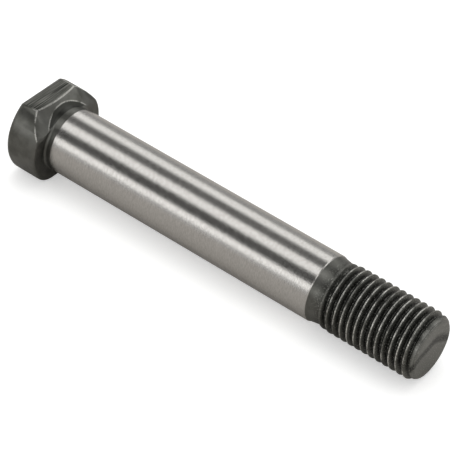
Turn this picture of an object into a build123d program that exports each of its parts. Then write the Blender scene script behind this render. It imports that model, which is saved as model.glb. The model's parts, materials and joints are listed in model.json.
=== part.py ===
from build123d import *

import os
from math import atan, degrees

# Shoulder bolt, one solid piece of steel. A round head has two flats across it and a bevel on its seat
# beside the upper, locking flat. A short turned neck leads to a long ground shank, the shoulder, and behind
# a plain taper comes the threaded end.
#
# The bolt is built on its own axis: bearing face at Z = 0, thread towards +Z, locking flat facing +X.
# It is then laid down as it comes to rest, on the head's lower flat and the thread's end: shank along +X,
# locking flat up, origin at the middle of its footprint on the surface. Sizes are in millimetres.

# Head
head_diameter = 31.5
head_height = 12.0
locking_flat_distance = 13.1          # bolt axis to the milled flat
resting_flat_distance = 12.6          # bolt axis to the opposite flat
resting_corner_radius = 8.0           # soft upright corners of the opposite flat
top_edge_radius = 2.0
seat_edge_radius = 0.8
bevel_angle = 45.0                    # slope of the bevel, from the bearing face
bevel_inset = 1.9                     # the bevel starts this far inside the neck's outline
bevel_crown_radius = 60.0             # the bevel is slightly rounded across its width

# Neck, between the bearing face and the ground shank
neck_diameter = 21.4
neck_length = 2.2
neck_fillet_radius = 0.8

# Ground shank
shank_diameter = 22.0
shank_length = 99.8
shank_edge_break = 0.25

# Threaded end
thread_diameter = 21.9
threaded_length = 38.0                # end of the ground shank to the bolt's end
run_out_length = 3.2                  # plain taper behind the thread
run_out_diameter = 20.5               # size at the foot of that taper
crest_growth_length = 5.5             # where the rolled crests rise to full height
end_face_diameter = 19.3
end_chamfer_length = 2.6
end_edge_radius = 0.6
end_dish_depth = 0.3

on_surface_tolerance = 0.001          # how near a point counts as on a surface

head_radius = head_diameter / 2
neck_radius = neck_diameter / 2
bevel_start_distance = neck_radius - bevel_inset
shank_radius = shank_diameter / 2
thread_radius = thread_diameter / 2
run_out_radius = run_out_diameter / 2
end_face_radius = end_face_diameter / 2
shank_end = neck_length + shank_length
bolt_end = shank_end + threaded_length
chamfer_start = bolt_end - end_chamfer_length


def make_head():
    """The head with both flats, rounded edges and the bevel."""
    across_flats = locking_flat_distance + resting_flat_distance
    middle_of_flats = (locking_flat_distance - resting_flat_distance) / 2
    outline = Circle(head_radius) & Pos(X=middle_of_flats) * Rectangle(across_flats, head_diameter)
    head = extrude(outline, -head_height)
    resting_corners = head.edges().filter_by(Axis.Z).group_by(Axis.X)[0]
    head = fillet(resting_corners, resting_corner_radius)
    head = fillet(head.faces().sort_by(Axis.Z)[0].edges(), top_edge_radius)
    head = fillet(head.faces().sort_by(Axis.Z)[-1].edges(), seat_edge_radius)
    return head & bevel_bar()


def bevel_bar():
    """A thick round bar along the bevel's slope: the head is left only inside it."""
    bar_length = 4 * (head_diameter + head_height)
    bar = Pos(X=-bevel_crown_radius) * Cylinder(bevel_crown_radius, bar_length)
    return Pos(X=bevel_start_distance) * Rot(Y=bevel_angle - 90) * bar


def make_turned_bar():
    """Neck, ground shank, run-out taper and the end that carries the thread, down to the dished end face."""
    taper_end = shank_end + run_out_length
    outline = Polyline((0, -head_height / 2),
                       (neck_radius, -head_height / 2),
                       (neck_radius, neck_length),
                       (shank_radius - shank_edge_break, neck_length),
                       (shank_radius, neck_length + shank_edge_break),
                       (shank_radius, shank_end - shank_edge_break),
                       (shank_radius - shank_edge_break, shank_end),
                       (run_out_radius, taper_end),
                       (thread_radius, taper_end + crest_growth_length),
                       (thread_radius, chamfer_start),
                       (end_face_radius, bolt_end),
                       (0, bolt_end),
                       close=True)
    bar = revolve(Plane.XZ * make_face(outline), Axis.Z)
    end_rim = bar.edges().filter_by(GeomType.CIRCLE).sort_by(Axis.Z)[-1]
    bar = fillet(end_rim, end_edge_radius)
    dish_rim_radius = end_face_radius - 2 * end_edge_radius
    dish_radius = (dish_rim_radius ** 2 + end_dish_depth ** 2) / (2 * end_dish_depth)
    return bar - Pos(Z=bolt_end - end_dish_depth + dish_radius) * Sphere(dish_radius)


def is_neck_root(edge):
    """Whether an edge is part of the line where the neck meets the bearing face and the bevel."""
    middle = edge @ 0.5
    on_neck = abs(Vector(middle.X, middle.Y).length - neck_radius) < on_surface_tolerance
    return on_neck and middle.Z < neck_length / 2 and edge.geom_type != GeomType.LINE


def make_bolt():
    """The whole bolt on its own axis, with the fillet where the neck meets the head."""
    bolt = make_head() + make_turned_bar()
    return fillet(bolt.edges().filter_by(is_neck_root), neck_fillet_radius)


def lay_down(bolt):
    """Turn the shank to +X and the locking flat up, and tip the thread's end down onto the surface."""
    seat_edge = -seat_edge_radius
    tip_to_shank = atan((resting_flat_distance - shank_radius) / (shank_end - shank_edge_break - seat_edge))
    tip_to_thread = atan((resting_flat_distance - thread_radius) / (chamfer_start - seat_edge))
    flat_up = Plane(origin=(0, 0, 0), x_dir=(0, 0, 1), z_dir=(1, 0, 0)).location
    laid = Rot(Y=degrees(min(tip_to_shank, tip_to_thread))) * flat_up * bolt
    box = laid.bounding_box()
    return Pos(-box.center().X, -box.center().Y, -box.min.Z) * laid


if __name__ == "__main__":
    os.makedirs("parts", exist_ok=True)
    export_step(lay_down(make_bolt()), "parts/shoulder_bolt.step")
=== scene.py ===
"""Shoulder bolt: blackened head, ground shank and rolled thread, dressed on its CAD frame."""
import json
import logging
import math
from dataclasses import dataclass
from enum import Enum

import bpy
from mathutils import Euler, Matrix, Vector


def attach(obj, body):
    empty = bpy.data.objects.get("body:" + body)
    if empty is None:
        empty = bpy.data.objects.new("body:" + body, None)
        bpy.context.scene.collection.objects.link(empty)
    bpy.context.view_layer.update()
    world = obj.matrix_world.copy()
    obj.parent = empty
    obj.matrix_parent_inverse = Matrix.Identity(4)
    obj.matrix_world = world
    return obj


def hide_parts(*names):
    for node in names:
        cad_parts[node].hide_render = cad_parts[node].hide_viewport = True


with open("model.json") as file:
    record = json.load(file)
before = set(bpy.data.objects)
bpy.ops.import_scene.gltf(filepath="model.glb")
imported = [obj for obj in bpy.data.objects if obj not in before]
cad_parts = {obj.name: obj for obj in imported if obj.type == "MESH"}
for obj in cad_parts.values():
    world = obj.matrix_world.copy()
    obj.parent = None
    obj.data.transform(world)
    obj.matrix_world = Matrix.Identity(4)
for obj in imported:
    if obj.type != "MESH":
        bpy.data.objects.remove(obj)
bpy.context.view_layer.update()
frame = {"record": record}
MM = 0.001
MERGE_DISTANCE = 0.0005
LATHE_SMOOTH_ANGLE = 30
Colour = tuple[float, float, float, float]
Triple = tuple[float, float, float]
Levels = tuple[float, float]
Outline = list[tuple[float, float]]
Value = bpy.types.NodeSocket | float
Tint = bpy.types.NodeSocket | Colour
log = logging.getLogger("shoulder_bolt")


class Slot(Enum):
    """The record's material slots."""

    BLACKENED = "blackened_steel"
    GROUND = "ground_steel"


@dataclass(frozen=True)
class BoltSizes:
    """Sizes of the bolt along its own axis in millimetres, counted from the bearing face."""

    neck_length: float = 2.2
    shank_length: float = 99.8
    edge_break: float = 0.25
    shank_radius: float = 11.0
    thread_radius: float = 10.95
    run_out_radius: float = 10.25
    run_out_length: float = 3.2
    crest_growth: float = 5.5
    groove_growth: float = 3.0
    pitch: float = 2.5
    threaded_length: float = 38.0
    chamfer_length: float = 2.6
    end_face_radius: float = 9.65
    end_edge_radius: float = 0.6
    dish_depth: float = 0.3
    flat_distance: float = 13.1
    bevel_start: float = 8.8
    bevel_crown: float = 60.0
    head_radius: float = 15.75

    @property
    def shank_end(self) -> float:
        """Where the ground shank ends."""
        return self.neck_length + self.shank_length

    @property
    def thread_start(self) -> float:
        """Foot of the run-out taper, where the thread starts."""
        return self.shank_end + self.run_out_length

    @property
    def end(self) -> float:
        """The bolt's end face."""
        return self.shank_end + self.threaded_length

    @property
    def root_radius(self) -> float:
        """Radius at the bottom of the thread's groove."""
        return self.thread_radius - self.pitch * math.sqrt(3) / 2 * 17 / 24


class BoltFrame:
    """The bolt's own axes in the row frame, read from the frame's mounts."""

    def __init__(self, sizes: BoltSizes) -> None:
        """Work out the placement from the shank's and the locking flat's mounts.

        Args:
            sizes: The bolt's sizes.
        """
        mounts = {mount["name"]: mount for mount in frame["record"]["mounts"]}
        axis = Vector(mounts["ground_shank"]["axis"]).normalized()
        flat_up = Vector(mounts["locking_flat"]["axis"])
        flat_up = (flat_up - axis * flat_up.dot(axis)).normalized()
        across = axis.cross(flat_up)
        middle = (sizes.neck_length + sizes.shank_length / 2) * MM
        origin = Vector(mounts["ground_shank"]["pos_m"]) - axis * middle
        turned = Matrix((flat_up, across, axis)).transposed().to_4x4()
        self.matrix = Matrix.Translation(origin) @ turned

    def place(self, piece: bpy.types.Object) -> None:
        """Move a mesh made in millimetres on the bolt's own axis into the row frame.

        Args:
            piece: The object whose mesh is placed.
        """
        piece.data.transform(self.matrix @ Matrix.Scale(MM, 4))
        piece.data.update()


def only(piece: bpy.types.Object) -> None:
    """Select one object and make it active.

    Args:
        piece: The object.
    """
    bpy.ops.object.select_all(action="DESELECT")
    piece.select_set(True)
    bpy.context.view_layer.objects.active = piece


def single_point(name: str, place: Triple) -> bpy.types.Object:
    """A mesh of one selected point, left in edit mode, to be drawn out into an outline.

    Args:
        name: Name of the object.
        place: Where the point stands.

    Returns:
        The new object.
    """
    bpy.ops.object.select_all(action="DESELECT")
    bpy.ops.mesh.primitive_plane_add(size=1, location=(0, 0, 0))
    piece = bpy.context.object
    piece.name = name
    piece.data.name = name
    bpy.ops.object.mode_set(mode="EDIT")
    bpy.ops.mesh.select_all(action="SELECT")
    bpy.ops.mesh.merge(type="CENTER")
    bpy.ops.transform.translate(value=place)
    return piece


def draw_outline(name: str, outline: Outline) -> bpy.types.Object:
    """Extrude a point along an outline given as (radius, height) pairs.

    Args:
        name: Name of the object.
        outline: The outline's points.

    Returns:
        The object, in edit mode with its outline drawn.
    """
    piece = single_point(name, (outline[0][0], 0, outline[0][1]))
    for (r_a, z_a), (r_b, z_b) in zip(outline, outline[1:]):
        step = {"value": (r_b - r_a, 0, z_b - z_a)}
        bpy.ops.mesh.extrude_region_move(TRANSFORM_OT_translate=step)
    return piece


def close_and_smooth(piece: bpy.types.Object, angle: float) -> None:
    """Merge doubles, turn the faces outwards and shade smooth up to an angle.

    Args:
        piece: The object, in edit mode.
        angle: Largest smooth angle in degrees.
    """
    bpy.ops.mesh.select_all(action="SELECT")
    bpy.ops.mesh.remove_doubles(threshold=MERGE_DISTANCE)
    bpy.ops.mesh.normals_make_consistent(inside=False)
    bpy.ops.object.mode_set(mode="OBJECT")
    only(piece)
    bpy.ops.object.shade_smooth_by_angle(angle=math.radians(angle))


def lathe(name: str, outline: Outline, steps: int = 192) -> bpy.types.Object:
    """Turn an outline from axis to axis into a closed solid of revolution.

    Args:
        name: Name of the object.
        outline: (radius, height) pairs, the first and last on the axis.
        steps: Facets round.

    Returns:
        The turned object, in millimetres on the bolt's own axis.
    """
    piece = draw_outline(name, outline)
    bpy.ops.mesh.select_all(action="SELECT")
    bpy.ops.mesh.spin(steps=steps, angle=math.tau, center=(0, 0, 0), axis=(0, 0, 1))
    close_and_smooth(piece, LATHE_SMOOTH_ANGLE)
    return piece


def arc(centre: tuple[float, float], radius: float, start: float, stop: float,
        count: int) -> Outline:
    """Points of an arc in (radius, height), by angle in degrees from outwards.

    Args:
        centre: Middle of the arc.
        radius: Radius of the arc.
        start: First angle.
        stop: Last angle.
        count: Number of steps.

    Returns:
        The arc's points.
    """
    angles = [math.radians(start + (stop - start) * i / count) for i in range(count + 1)]
    return [(centre[0] + radius * math.cos(a), centre[1] + radius * math.sin(a)) for a in angles]


class NodeBuilder:
    """Short calls for building a node tree."""

    def __init__(self, tree: bpy.types.NodeTree) -> None:
        """Keep the tree and clear it.

        Args:
            tree: The tree to build in.
        """
        self.tree = tree
        tree.nodes.clear()

    def fill(self, socket: bpy.types.NodeSocket, value: object) -> None:
        """Link an input, or set its own value.

        Args:
            socket: The input.
            value: An output to link from, or a plain value.
        """
        if isinstance(value, bpy.types.NodeSocket):
            self.tree.links.new(value, socket)
        else:
            socket.default_value = value

    def add(self, kind: str, **values: object) -> bpy.types.Node:
        """Add a node; names that start with in_ fill its inputs, others set its properties.

        Args:
            kind: Node type without its ShaderNode prefix, or a full type name.
            **values: Properties, and inputs as in_NAME or in_NUMBER.

        Returns:
            The node.
        """
        node = self.tree.nodes.new(kind if kind.startswith("Node") else "ShaderNode" + kind)
        inputs = {key: value for key, value in values.items() if key.startswith("in_")}
        for key in values.keys() - inputs.keys():
            setattr(node, key, values[key])
        for key, value in inputs.items():
            name = key.removeprefix("in_")
            self.fill(node.inputs[int(name) if name.isdigit() else name.replace("_", " ")], value)
        return node

    def math(self, operation: str, *inputs: Value) -> bpy.types.NodeSocket:
        """A Math node's result.

        Args:
            operation: The node's operation.
            *inputs: Its inputs.

        Returns:
            The value socket.
        """
        values = {f"in_{i}": value for i, value in enumerate(inputs)}
        return self.add("Math", operation=operation, **values).outputs[0]

    def chain(self, operation: str, first: Value, *others: Value) -> Value:
        """Apply a Math operation to several values, one after the other.

        Args:
            operation: The node's operation.
            first: The value to start from.
            *others: The values that follow.

        Returns:
            The value socket.
        """
        for value in others:
            first = self.math(operation, first, value)
        return first

    def times(self, *values: Value) -> Value:
        """The product of the values.

        Args:
            *values: Sockets or numbers.

        Returns:
            The value socket.
        """
        return self.chain("MULTIPLY", *values)

    def plus(self, *values: Value) -> Value:
        """The sum of the values.

        Args:
            *values: Sockets or numbers.

        Returns:
            The value socket.
        """
        return self.chain("ADD", *values)

    def highest(self, *values: Value) -> Value:
        """The largest of the values.

        Args:
            *values: Sockets or numbers.

        Returns:
            The value socket.
        """
        return self.chain("MAXIMUM", *values)

    def distance(self, value: Value, target: Value) -> bpy.types.NodeSocket:
        """How far a value is from a target, on either side.

        Args:
            value: The value.
            target: What it is measured from.

        Returns:
            The value socket.
        """
        return self.math("ABSOLUTE", self.math("SUBTRACT", value, target))

    def band(self, value: Value, low: float, high: float) -> bpy.types.NodeSocket:
        """A mask that goes smoothly from 0 at low to 1 at high; low may be the larger.

        Args:
            value: The socket to map.
            low: Where the mask starts.
            high: Where it is full.

        Returns:
            The mask socket.
        """
        return self.add("MapRange", interpolation_type="SMOOTHSTEP",
                        in_0=value, in_1=low, in_2=high).outputs[0]

    def noise(self, place: bpy.types.NodeSocket, **values: float) -> bpy.types.NodeSocket:
        """A noise pattern's value.

        Args:
            place: Where the pattern is read.
            **values: Inputs of the noise node, as in add.

        Returns:
            The value socket.
        """
        return self.add("TexNoise", in_Vector=place, **values).outputs[0]

    def stretch(self, place: bpy.types.NodeSocket, scale: Triple) -> bpy.types.NodeSocket:
        """Scale a place along its three axes.

        Args:
            place: The place to scale.
            scale: The three factors.

        Returns:
            The vector socket.
        """
        return self.add("Mapping", in_Vector=place, in_Scale=scale).outputs[0]

    def mix(self, factor: Value, first: Tint, second: Tint) -> bpy.types.NodeSocket:
        """Mix two colours.

        Args:
            factor: Share of the second colour.
            first: The first colour.
            second: The second colour.

        Returns:
            The colour socket.
        """
        node = self.add("Mix", data_type="RGBA")
        for index, value in ((0, factor), (6, first), (7, second)):
            self.fill(node.inputs[index], value)
        return node.outputs[2]

    def steel(self, tone: Tint, rough: Value, metallic: float, strength: float, distance: float,
              height: Value) -> None:
        """Finish a material as a metal surface with a fine relief.

        Args:
            tone: Its colour.
            rough: Its roughness.
            metallic: Its metallic share.
            strength: Strength of the relief.
            distance: Depth of the relief in metres.
            height: The relief's height.
        """
        bump = self.add("Bump", in_Strength=strength, in_Distance=distance, in_Height=height)
        surface = self.add("BsdfPrincipled", in_Base_Color=tone, in_Roughness=rough,
                           in_Metallic=metallic, in_Normal=bump.outputs[0])
        self.add("OutputMaterial", in_Surface=surface.outputs[0])


def new_material(name: str) -> tuple[bpy.types.Material, NodeBuilder]:
    """An empty node material.

    Args:
        name: Name of the material.

    Returns:
        The material and the builder of its nodes.
    """
    material = bpy.data.materials.new(name)
    material.use_nodes = True
    return material, NodeBuilder(material.node_tree)


def new_group(name: str, inputs: dict[str, float],
              outputs: list[tuple[str, str]]) -> bpy.types.NodeTree:
    """An empty shader node group with its sockets.

    Args:
        name: Name of the group.
        inputs: Value inputs and their defaults.
        outputs: Names and kinds of the outputs.

    Returns:
        The group's tree.
    """
    tree = bpy.data.node_groups.new(name, "ShaderNodeTree")
    for label, value in inputs.items():
        socket = tree.interface.new_socket(label, in_out="INPUT", socket_type="NodeSocketFloat")
        socket.default_value = value
    for label, kind in outputs:
        tree.interface.new_socket(label, in_out="OUTPUT", socket_type=kind)
    return tree


@dataclass(frozen=True)
class SurfacePoint:
    """What a material reads about a point of the bolt."""

    place: bpy.types.NodeSocket
    up: bpy.types.NodeSocket
    across: bpy.types.NodeSocket
    along: bpy.types.NodeSocket
    radius: bpy.types.NodeSocket
    clouds: bpy.types.NodeSocket
    grain: bpy.types.NodeSocket


class ShaderGroups:
    """The effects that the finishes share."""

    cloud_scale: float = 220.0
    cloud_detail: float = 5.0
    grain_scale: float = 2600.0
    grain_detail: float = 2.0

    def __init__(self, bolt: BoltFrame) -> None:
        """Build each group once.

        Args:
            bolt: The bolt's placement.
        """
        self.place = self.build_place(bolt)
        self.mottle = self.build_mottle()

    def build_place(self, bolt: BoltFrame) -> bpy.types.NodeTree:
        """Where a point is on the bolt: its place in millimetres and its distance from the axis.

        Args:
            bolt: The bolt's placement.

        Returns:
            The group.
        """
        tree = new_group("place_on_bolt", {},
                         [("Place", "NodeSocketVector"), ("Radius", "NodeSocketFloat")])
        nodes = NodeBuilder(tree)
        turn_back = bolt.matrix.inverted()
        coords = nodes.add("TexCoord")
        place = nodes.add("Mapping", vector_type="POINT", in_Vector=coords.outputs["Object"],
                          in_Location=[v / MM for v in turn_back.translation],
                          in_Rotation=list(turn_back.to_euler()), in_Scale=(1 / MM,) * 3)
        parts = nodes.add("SeparateXYZ", in_0=place.outputs[0])
        square = nodes.plus(nodes.math("POWER", parts.outputs[0], 2.0),
                            nodes.math("POWER", parts.outputs[1], 2.0))
        radius = nodes.math("SQRT", square)
        nodes.add("NodeGroupOutput", in_Place=place.outputs[0], in_Radius=radius)
        return tree

    def build_mottle(self) -> bpy.types.NodeTree:
        """Cloudy and fine variation of a steel surface.

        Returns:
            The group, with Clouds and Grain between 0 and 1.
        """
        tree = new_group("steel_mottle",
                         {"Clouds Scale": self.cloud_scale, "Grain Scale": self.grain_scale},
                         [("Clouds", "NodeSocketFloat"), ("Grain", "NodeSocketFloat")])
        nodes = NodeBuilder(tree)
        scales = nodes.add("NodeGroupInput").outputs
        coords = nodes.add("TexCoord").outputs["Object"]
        clouds = nodes.noise(coords, in_Detail=self.cloud_detail, in_Scale=scales["Clouds Scale"])
        grain = nodes.noise(coords, in_Detail=self.grain_detail, in_Scale=scales["Grain Scale"])
        nodes.add("NodeGroupOutput", in_Clouds=clouds, in_Grain=grain)
        return tree

    def read(self, nodes: NodeBuilder) -> SurfacePoint:
        """Place both groups in a material.

        Args:
            nodes: The material's builder.

        Returns:
            What the groups say about a point.
        """
        place = nodes.add("Group", node_tree=self.place)
        mottle = nodes.add("Group", node_tree=self.mottle)
        at = nodes.add("SeparateXYZ", in_0=place.outputs["Place"])
        return SurfacePoint(place.outputs["Place"], *at.outputs, place.outputs["Radius"],
                            mottle.outputs["Clouds"], mottle.outputs["Grain"])


@dataclass(frozen=True)
class BlackOxide:
    """Blackened steel: dark, satin, brushed on the milled flat, rubbed bright with painted
    highlights on its crests and edges, painted shade in its grooves and cove, and a painted dark
    reflection on its end face.
    """

    dark: Colour = (0.094, 0.094, 0.084, 1)
    light: Colour = (0.165, 0.165, 0.153, 1)
    stroke: Colour = (0.20, 0.20, 0.182, 1)
    # near black: the milled flat's dark strokes, painted shade in the cove and grooves, and the
    # painted dark reflection on the end face
    near_black_and_shade: Colour = (0.014, 0.015, 0.013, 1)
    # lighter tone of the end face
    end_face_tone: Colour = (0.22, 0.22, 0.205, 1)
    # uncoated steel for flecks and rubbed crests and edges, also the painted highlights on crests,
    # edges and the cove's rim
    bare_and_highlight: Colour = (0.72, 0.71, 0.67, 1)
    metallic: float = 0.9
    roughness: float = 0.36
    roughness_spread: float = 0.16
    cloud_levels: Levels = (0.25, 0.78)

    flat_skin: Levels = (0.06, 0.02)
    stroke_stretch: Triple = (1.0, 0.05, 3.2)
    stroke_scale: float = 1.6
    stroke_detail: float = 4.0
    stroke_levels: Levels = (0.36, 0.66)

    thread_fade: float = 1.5
    crest_skin: Levels = (0.16, 0.02)
    crest_rub_clouds: Levels = (0.36, 0.56)
    crest_rub_grain: Levels = (0.32, 0.56)
    # crests rubbed bright: part wear, part painted highlight
    crest_bare_and_highlight: float = 0.9
    fleck_levels: Levels = (0.56, 0.68)
    fleck_bareness: float = 0.3
    groove_skin: float = 0.25
    # painted shade: how dark the thread's grooves are painted
    groove_shade_strength: float = 0.85

    # the head's edges: part rubbed wear, part painted highlight
    edge_width: float = 0.24
    edge_reach: Levels = (1.3, 0.5)
    edge_rub_clouds: Levels = (0.34, 0.50)
    edge_rub_grain: Levels = (0.30, 0.50)
    edge_bare_and_highlight: float = 0.6
    flat_side_share: float = 0.5
    bevel_skin: Levels = (0.35, 0.1)
    below_seat: Levels = (0.0, -0.4)
    cove_radius: float = 11.9
    cove_softness: float = 0.1
    # painted shade inside the cove round the neck
    cove_shade_strength: float = 0.7
    rim_reach: Levels = (1.0, 0.3)
    # painted highlight on the cove's rim
    rim_highlight_share: float = 0.8

    end_skin: Levels = (1.4, 0.5)
    end_share: float = 0.8
    swirl_scale: float = 0.075
    swirl_detail: float = 1.5
    swirl_sway: float = 8.0
    # painted dark reflection on the end face
    reflection_bow: float = 0.05
    reflection_level: float = 6.5
    reflection_width: Levels = (2.6, 0.6)
    reflection_darkness: float = 0.85

    relief_strength: float = 0.35
    relief_depth: float = 0.00006
    grain_relief: float = 0.4
    stroke_relief: float = 2.2

    def build(self, groups: ShaderGroups, sizes: BoltSizes) -> bpy.types.Material:
        """Build the material.

        Args:
            groups: The shared node groups.
            sizes: The bolt's sizes.

        Returns:
            The material.
        """
        material, nodes = new_material("black_oxide")
        point = groups.read(nodes)
        strokes = nodes.noise(nodes.stretch(point.place, self.stroke_stretch),
                              in_Scale=self.stroke_scale, in_Detail=self.stroke_detail)
        on_flat = nodes.band(point.up, *(sizes.flat_distance - skin for skin in self.flat_skin))
        on_thread = nodes.band(point.along, sizes.shank_end, sizes.thread_start + self.thread_fade)
        # painted shade inside the cove round the neck
        cove = nodes.times(self.inside_cove(nodes, point), nodes.math("SUBTRACT", 1.0, on_thread),
                           self.cove_shade_strength)
        # painted shade in the thread's grooves
        groove = nodes.times(self.in_groove(nodes, point, sizes), on_thread, self.groove_shade_strength)
        tone = nodes.mix(nodes.band(point.clouds, *self.cloud_levels), self.dark, self.light)
        milled = nodes.mix(nodes.band(strokes, *self.stroke_levels), self.near_black_and_shade, self.stroke)
        tone = nodes.mix(on_flat, tone, milled)
        tone = nodes.mix(cove, tone, self.near_black_and_shade)
        tone = nodes.mix(groove, tone, self.near_black_and_shade)
        tone = self.end_face_and_reflection(nodes, point, sizes, tone)
        flecks = nodes.band(point.grain, *self.fleck_levels)
        # uncoated steel on rubbed crests, edges and flecks, with painted highlights on crests,
        # edges and the cove's rim
        wear_and_highlight = nodes.highest(
            nodes.times(self.crest_wear_and_highlight(nodes, point, sizes), on_thread, self.crest_bare_and_highlight),
            nodes.times(self.edge_wear_and_highlight(nodes, point, sizes), self.edge_bare_and_highlight),
            nodes.times(flecks, on_thread, self.fleck_bareness))
        tone = nodes.mix(wear_and_highlight, tone, self.bare_and_highlight)
        rough = nodes.plus(nodes.times(point.grain, self.roughness_spread),
                           self.roughness - self.roughness_spread / 2)
        height = nodes.plus(nodes.times(point.grain, self.grain_relief),
                            nodes.times(strokes, on_flat, self.stroke_relief))
        nodes.steel(tone, rough, self.metallic, self.relief_strength, self.relief_depth, height)
        return material

    def in_groove(self, nodes: NodeBuilder, point: SurfacePoint,
                  sizes: BoltSizes) -> bpy.types.NodeSocket:
        """Where the thread's groove is deep, to take painted shade.

        Args:
            nodes: The material's builder.
            point: What is read about a point.
            sizes: The bolt's sizes.

        Returns:
            The mask.
        """
        return nodes.band(point.radius, sizes.thread_radius - self.groove_skin,
                          sizes.root_radius + self.groove_skin)

    def crest_wear_and_highlight(self, nodes: NodeBuilder, point: SurfacePoint,
                   sizes: BoltSizes) -> bpy.types.NodeSocket:
        """Where the thread's crests are rubbed bright, unevenly: part wear, part painted highlight.

        Args:
            nodes: The material's builder.
            point: What is read about a point.
            sizes: The bolt's sizes.

        Returns:
            The mask.
        """
        crest = nodes.band(point.radius, *(sizes.thread_radius - skin for skin in self.crest_skin))
        return nodes.times(crest, nodes.band(point.clouds, *self.crest_rub_clouds),
                           nodes.band(point.grain, *self.crest_rub_grain))

    def end_face_and_reflection(self, nodes: NodeBuilder, point: SurfacePoint, sizes: BoltSizes,
                  tone: bpy.types.NodeSocket) -> bpy.types.NodeSocket:
        """Colour the end face lighter, with one bowed painted dark reflection.

        Args:
            nodes: The material's builder.
            point: What is read about a point.
            sizes: The bolt's sizes.
            tone: The colour so far.

        Returns:
            The colour with the end face in it.
        """
        swirl = nodes.noise(point.place, in_Scale=self.swirl_scale, in_Detail=self.swirl_detail)
        bent = nodes.plus(point.up, nodes.times(point.across, point.across, self.reflection_bow),
                          nodes.times(swirl, self.swirl_sway))
        # painted dark reflection bowed across the end face
        painted_reflection = nodes.band(nodes.distance(bent, self.reflection_level), *self.reflection_width)
        face = nodes.mix(nodes.times(painted_reflection, self.reflection_darkness), self.end_face_tone, self.near_black_and_shade)
        on_end = nodes.band(point.along, *(sizes.end - skin for skin in self.end_skin))
        return nodes.mix(nodes.times(on_end, self.end_share), tone, face)

    def inside_cove(self, nodes: NodeBuilder, point: SurfacePoint) -> bpy.types.NodeSocket:
        """Where painted shade darkens the bevel inside the turned cove round the neck.

        Args:
            nodes: The material's builder.
            point: What is read about a point.

        Returns:
            The mask.
        """
        within = nodes.band(point.radius, self.cove_radius, self.cove_radius - self.cove_softness)
        return nodes.times(within, nodes.band(point.along, *self.below_seat))

    def edge_wear_and_highlight(self, nodes: NodeBuilder, point: SurfacePoint,
                  sizes: BoltSizes) -> bpy.types.NodeSocket:
        """Where the head's edges are rubbed bright, part wear and part painted highlight, and the
        rim of its cove gets a painted highlight, unevenly.

        Args:
            nodes: The material's builder.
            point: What is read about a point.
            sizes: The bolt's sizes.

        Returns:
            The mask.
        """
        crown = nodes.math("DIVIDE", nodes.math("POWER", point.across, 2.0), 2 * sizes.bevel_crown)
        slant = nodes.math("SUBTRACT", sizes.bevel_start, nodes.plus(point.up, point.along))
        to_bevel = nodes.distance(nodes.times(slant, math.sqrt(0.5)), crown)
        to_flat = nodes.math("SUBTRACT", sizes.flat_distance, point.up)
        to_side = nodes.math("SUBTRACT", sizes.head_radius, point.radius)
        reach = [self.edge_width * share for share in self.edge_reach]
        bevel_to_flat, bevel_to_side, flat_to_side = (
            nodes.band(nodes.highest(first, second), *reach)
            for first, second in ((to_bevel, to_flat), (to_bevel, to_side), (to_flat, to_side)))
        # painted highlight along the cove's rim
        on_rim = nodes.band(nodes.distance(point.radius, self.cove_radius),
                            *(self.edge_width * share for share in self.rim_reach))
        rim = nodes.times(on_rim, nodes.band(to_bevel, *self.bevel_skin),
                          nodes.band(point.along, *self.below_seat))
        wear_and_highlight = nodes.highest(bevel_to_flat, bevel_to_side,
                             nodes.times(flat_to_side, self.flat_side_share),
                             nodes.times(rim, self.rim_highlight_share))
        return nodes.times(wear_and_highlight, nodes.band(point.clouds, *self.edge_rub_clouds),
                           nodes.band(point.grain, *self.edge_rub_grain))


@dataclass(frozen=True)
class GroundSteel:
    """Bright cylindrically ground steel with fine rings round the shank."""

    tone: Colour = (0.60, 0.585, 0.565, 1)
    shade: Colour = (0.47, 0.455, 0.44, 1)
    metallic: float = 1.0
    roughness: float = 0.2
    roughness_spread: float = 0.16
    ring_stretch: Triple = (0.12, 0.12, 5.0)
    ring_scale: float = 1.6
    ring_detail: float = 5.0
    ring_roughness: float = 0.65
    chatter_stretch: Triple = (0.55, 0.55, 2.4)
    chatter_scale: float = 1.5
    chatter_detail: float = 3.0
    tone_levels: Levels = (0.36, 0.62)
    relief_strength: float = 0.8
    relief_depth: float = 0.00005
    grain_relief: float = 0.5

    def build(self, groups: ShaderGroups) -> bpy.types.Material:
        """Build the material.

        Args:
            groups: The shared node groups.

        Returns:
            The material.
        """
        material, nodes = new_material("ground_steel")
        point = groups.read(nodes)
        rings = nodes.noise(nodes.stretch(point.place, self.ring_stretch), in_Scale=self.ring_scale,
                            in_Detail=self.ring_detail, in_Roughness=self.ring_roughness)
        chatter = nodes.noise(nodes.stretch(point.place, self.chatter_stretch),
                              in_Scale=self.chatter_scale, in_Detail=self.chatter_detail)
        marks = nodes.plus(nodes.times(rings, 0.5), nodes.times(chatter, 0.5))
        tone = nodes.mix(nodes.band(marks, *self.tone_levels), self.shade, self.tone)
        rough = nodes.plus(nodes.times(marks, self.roughness_spread),
                           self.roughness - self.roughness_spread / 2)
        height = nodes.plus(marks, nodes.times(point.grain, self.grain_relief))
        nodes.steel(tone, rough, self.metallic, self.relief_strength, self.relief_depth, height)
        return material


@dataclass
class Part:
    """A sub-assembly: its sizes, its placement and the materials it can wear."""

    sizes: BoltSizes
    bolt: BoltFrame
    finishes: dict[Slot, bpy.types.Material]
    node: str = "shoulder_bolt"

    def dress(self, piece: bpy.types.Object, slot: Slot) -> None:
        """Give a finished piece its material, its body and its place in the record.

        Args:
            piece: The finished piece.
            slot: The finish it wears.
        """
        piece.data.materials.clear()
        piece.data.materials.append(self.finishes[slot])
        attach(piece, "root")
        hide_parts(self.node)
        log.info("%s: %d faces", piece.name, len(piece.data.polygons))


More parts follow.
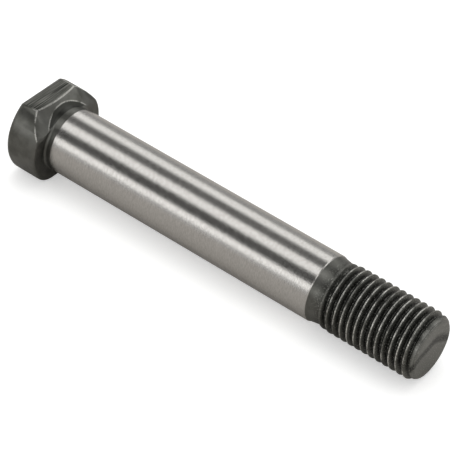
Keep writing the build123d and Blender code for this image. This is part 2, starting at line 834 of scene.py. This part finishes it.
class Head(Part):
    """The head with its flats, bevel and filleted neck."""

    cut_back: float = 0.02
    smooth_angle: float = 24

    def build(self) -> None:
        """Copy the CAD solid, cut it off where the ground shank starts and close it."""
        source = bpy.data.objects[self.node]
        bpy.ops.object.select_all(action="DESELECT")
        piece = source.copy()
        piece.data = source.data.copy()
        piece.name = piece.data.name = "bolt_head"
        bpy.context.scene.collection.objects.link(piece)
        piece.hide_render = piece.hide_viewport = False
        for key in [key for key in piece.keys() if key.startswith("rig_")]:
            del piece[key]
        piece.data.transform(self.bolt.matrix.inverted())
        piece.data.transform(Matrix.Scale(1 / MM, 4))
        only(piece)
        bpy.ops.object.mode_set(mode="EDIT")
        bpy.ops.mesh.select_all(action="SELECT")
        bpy.ops.mesh.remove_doubles(threshold=MERGE_DISTANCE)
        bpy.ops.mesh.bisect(plane_co=(0, 0, self.sizes.neck_length - self.cut_back),
                            plane_no=(0, 0, 1), use_fill=True, clear_outer=True)
        close_and_smooth(piece, self.smooth_angle)
        weighted = piece.modifiers.new("weighted", "WEIGHTED_NORMAL")
        weighted.keep_sharp = True
        bpy.ops.object.modifier_apply(modifier="weighted")
        self.bolt.place(piece)
        self.dress(piece, Slot.BLACKENED)


class Shank(Part):
    """The ground shank between the neck and the threaded end."""

    facets: int = 256

    def build(self) -> None:
        """Turn the shank with its two broken edges."""
        s = self.sizes
        face_radius = s.shank_radius - s.edge_break
        outline = [(0, s.neck_length), (face_radius, s.neck_length),
                   (s.shank_radius, s.neck_length + s.edge_break),
                   (s.shank_radius, s.shank_end - s.edge_break),
                   (face_radius, s.shank_end), (0, s.shank_end)]
        piece = lathe("ground_shank", outline, self.facets)
        self.bolt.place(piece)
        self.dress(piece, Slot.GROUND)


class ThreadedEnd(Part):
    """The run-out band, the rolled thread and the dished end."""

    steps_per_turn: int = 96
    spare_turns: int = 2
    thread_smooth_angle: float = 40
    run_out_gap: float = 0.01
    run_out_overlap: float = 0.02
    root_cover: float = 0.03
    tip_length: float = 2
    tip_facets: int = 128
    tip_edge_steps: int = 8
    dish_steps: int = 6
    rolled_profile: Outline = [
        (0.0, 1.0), (0.07, 0.975), (0.12, 0.88), (0.25, 0.525), (0.38, 0.17), (0.425, 0.045),
        (0.46, 0.008), (0.5, 0.0)]

    def build(self) -> None:
        """Build the three pieces of the threaded end."""
        self.build_run_out()
        self.build_thread()
        self.build_tip()

    def crest_radius_at(self, z: float) -> float:
        """How far out the crests reach.

        Args:
            z: Distance from the bearing face.

        Returns:
            The radius there.
        """
        s = self.sizes
        chamfer_start = s.end - s.chamfer_length
        if z > chamfer_start:
            along = (z - chamfer_start) / s.chamfer_length
            return s.thread_radius - along * (s.thread_radius - s.end_face_radius)
        still = min(max(1 - (z - s.thread_start) / s.crest_growth, 0), 1)
        return s.thread_radius - still ** 2 * (s.thread_radius - s.run_out_radius)

    def root_radius_at(self, z: float) -> float:
        """How deep the groove goes.

        Args:
            z: Distance from the bearing face.

        Returns:
            The radius there.
        """
        grown = min(max((z - self.sizes.thread_start) / self.sizes.groove_growth, 0), 1)
        return self.crest_radius_at(z) * (1 - grown) + self.sizes.root_radius * grown

    def build_run_out(self) -> None:
        """Turn the plain taper behind the thread."""
        s = self.sizes
        first = s.shank_end + self.run_out_gap
        last = s.thread_start + self.run_out_overlap
        outline = [(0, first), (s.shank_radius - s.edge_break, first),
                   (s.run_out_radius, s.thread_start),
                   (s.run_out_radius - self.run_out_overlap, last), (0, last)]
        piece = lathe("run_out_band", outline)
        self.bolt.place(piece)
        self.dress(piece, Slot.BLACKENED)

    def pitch_profile(self) -> Outline:
        """One pitch of the rolled profile, from root to root, with soft crest and root.

        Returns:
            (radius, height) pairs.
        """
        s = self.sizes
        depth = s.thread_radius - s.root_radius
        half = self.rolled_profile
        shares = half + [(1 - along, down) for along, down in reversed(half[:-1])]
        return [(s.thread_radius - down * depth, along * s.pitch) for along, down in shares]

    def build_thread(self) -> None:
        """Wind one pitch of profile into the thread, square its ends and fit its envelope."""
        s = self.sizes
        start = s.thread_start - self.spare_turns * s.pitch
        turns = math.ceil((s.end - start) / s.pitch) + self.spare_turns
        profile = [(r, start + z) for r, z in self.pitch_profile()]
        piece = draw_outline("rolled_thread", profile)
        bpy.ops.object.mode_set(mode="OBJECT")
        only(piece)
        winding = piece.modifiers.new("winding", "SCREW")
        winding.angle = math.tau
        winding.screw_offset = s.pitch
        winding.iterations = turns
        winding.steps = winding.render_steps = self.steps_per_turn
        winding.use_merge_vertices = True
        winding.merge_threshold = MERGE_DISTANCE
        bpy.ops.object.modifier_apply(modifier="winding")
        bpy.ops.object.mode_set(mode="EDIT")
        bpy.ops.mesh.select_all(action="SELECT")
        bpy.ops.mesh.remove_doubles(threshold=MERGE_DISTANCE)
        low, high = s.thread_start, s.end - s.end_edge_radius / 2
        for height, up in ((low, False), (high, True)):
            bpy.ops.mesh.select_all(action="SELECT")
            bpy.ops.mesh.bisect(plane_co=(0, 0, height), plane_no=(0, 0, 1), use_fill=True,
                                clear_outer=up, clear_inner=not up)
        bpy.ops.object.mode_set(mode="OBJECT")
        for vertex in piece.data.vertices:
            self.fit_to_envelope(vertex)
        only(piece)
        bpy.ops.object.mode_set(mode="EDIT")
        close_and_smooth(piece, self.thread_smooth_angle)
        self.bolt.place(piece)
        self.dress(piece, Slot.BLACKENED)

    def fit_to_envelope(self, vertex: bpy.types.MeshVertex) -> None:
        """Keep a point of the thread between the groove's depth and the crests' height there.

        Args:
            vertex: The point, moved in place.
        """
        radius = math.hypot(vertex.co.x, vertex.co.y)
        if radius < 1:
            return
        z = vertex.co.z
        wanted = max(min(radius, self.crest_radius_at(z)), self.root_radius_at(z))
        vertex.co.x *= wanted / radius
        vertex.co.y *= wanted / radius

    def build_tip(self) -> None:
        """Turn the plain end with its rounded edge and dished face."""
        s = self.sizes
        tip_radius = s.root_radius - self.root_cover
        edge = s.end_edge_radius
        rim = tip_radius - edge
        outline = [(0, s.end - self.tip_length), (tip_radius, s.end - self.tip_length)]
        outline += arc((rim, s.end - edge), edge, 0, 90, self.tip_edge_steps)
        for step in range(self.dish_steps + 1):
            outwards = 1 - step / self.dish_steps
            outline.append(((rim - edge) * outwards, s.end - s.dish_depth * (1 - outwards ** 2)))
        piece = lathe("bolt_tip", outline, self.tip_facets)
        self.bolt.place(piece)
        self.dress(piece, Slot.BLACKENED)


@dataclass(frozen=True)
class Studio:
    """Pale floor, soft light and the camera."""

    eye: Triple = (0.30902, -0.43907, 0.47901)
    turn: Triple = (48.941, -3.678, 38.306)
    lens: float = 185.93
    sensor_width: float = 36
    clip_start: float = 0.01

    floor_size: float = 6
    floor_drop: float = 0.0002
    floor_tone: Colour = (0.86, 0.86, 0.85, 1)
    floor_in_gloss: Colour = (0.54, 0.52, 0.49, 1)
    floor_glow: float = 0.42

    white: Colour = (1, 1, 1, 1)
    ambient: Colour = (0.8, 0.8, 0.8, 1)
    warmth: float = 0.985
    bands: tuple[Levels, ...] = (
        (-180, 0.42), (0, 0.55), (9, 0.6), (16, 1.5), (30, 1.5), (37, 0.09), (63, 0.09), (70, 1.35),
        (91, 1.35), (98, 0.16), (122, 0.16), (129, 1.3), (151, 1.3), (157, 0.42), (180, 0.42))

    lamp_size: float = 0.9
    lamp_energy: float = 3.0
    lamp_place: Triple = (-0.15, 0.25, 1.1)

    def build(self) -> None:
        """Build the floor, the surroundings, the lamp and the camera."""
        self.build_floor()
        self.build_world()
        self.build_lamp()
        self.build_camera()

    def build_floor(self) -> None:
        """A plain pale floor, darker in reflections and lifted to white for the camera."""
        bpy.ops.object.select_all(action="DESELECT")
        bpy.ops.mesh.primitive_plane_add(size=self.floor_size, location=(0, 0, -self.floor_drop))
        floor = bpy.context.object
        floor.name = "studio_floor"
        material, nodes = new_material("pale_floor")
        path = nodes.add("LightPath")
        tone = nodes.mix(path.outputs["Is Glossy Ray"], self.floor_tone, self.floor_in_gloss)
        matt = nodes.add("BsdfDiffuse", in_Color=tone)
        glow = nodes.add("Emission", in_Color=self.white,
                         in_Strength=nodes.times(path.outputs["Is Camera Ray"], self.floor_glow))
        both = nodes.add("AddShader", in_0=matt.outputs[0], in_1=glow.outputs[0])
        nodes.add("OutputMaterial", in_Surface=both.outputs[0])
        floor.data.materials.append(material)

    def build_world(self) -> None:
        """White background, plain ambient light, and bright and dark bands for gloss."""
        world = bpy.data.worlds.new("studio")
        bpy.context.scene.world = world
        world.use_nodes = True
        nodes = NodeBuilder(world.node_tree)
        path = nodes.add("LightPath")
        ray = nodes.add("SeparateXYZ", in_0=nodes.add("TexCoord").outputs["Generated"])
        angle = nodes.math("ARCTAN2", ray.outputs[2], nodes.times(ray.outputs[1], -1.0))
        share = nodes.add("MapRange", in_0=angle, in_1=-math.pi, in_2=math.pi).outputs[0]
        ramp = nodes.add("ValToRGB", in_0=share)
        self.fill_ramp(ramp.color_ramp.elements)
        ambient = nodes.mix(path.outputs["Is Glossy Ray"], self.ambient, ramp.outputs[0])
        seen = nodes.mix(path.outputs["Is Camera Ray"], ambient, self.white)
        back = nodes.add("Background", in_Color=seen, in_Strength=1.0)
        nodes.add("OutputWorld", in_Surface=back.outputs[0])

    def fill_ramp(self, stops: bpy.types.ColorRampElements) -> None:
        """Write the bands of light into a ramp that covers a full turn.

        Args:
            stops: The ramp's stops.
        """
        while len(stops) > 1:
            stops.remove(stops[-1])
        for index, (angle, level) in enumerate(self.bands):
            position = (angle + 180) / 360
            stop = stops.new(position) if index else stops[0]
            stop.position = position
            stop.color = (level, level, level * self.warmth, 1)

    def build_lamp(self) -> None:
        """One large soft lamp overhead."""
        light = bpy.data.lights.new("overhead_softbox", "AREA")
        light.size = self.lamp_size
        light.energy = self.lamp_energy
        lamp = bpy.data.objects.new("overhead_softbox", light)
        lamp.location = self.lamp_place
        lamp.rotation_euler = Vector(self.lamp_place).to_track_quat("Z", "Y").to_euler()
        lamp.visible_glossy = False
        bpy.context.scene.collection.objects.link(lamp)

    def build_camera(self) -> None:
        """A long lens, looking down on the bolt from the front of its threaded end."""
        data = bpy.data.cameras.new("camera")
        data.lens = self.lens
        data.sensor_width = self.sensor_width
        data.clip_start = self.clip_start
        camera = bpy.data.objects.new("camera", data)
        camera.location = self.eye
        camera.rotation_euler = Euler([math.radians(angle) for angle in self.turn], "XYZ")
        bpy.context.scene.collection.objects.link(camera)
        bpy.context.scene.camera = camera


def main() -> None:
    """Build the bolt and its studio."""
    logging.basicConfig(level=logging.INFO)
    bpy.context.scene.view_settings.view_transform = "Standard"
    sizes = BoltSizes()
    bolt = BoltFrame(sizes)
    groups = ShaderGroups(bolt)
    finishes = {Slot.BLACKENED: BlackOxide().build(groups, sizes),
                Slot.GROUND: GroundSteel().build(groups)}
    for kind in (Head, Shank, ThreadedEnd):
        kind(sizes, bolt, finishes).build()
    Studio().build()


if __name__ == "__main__":
    main()
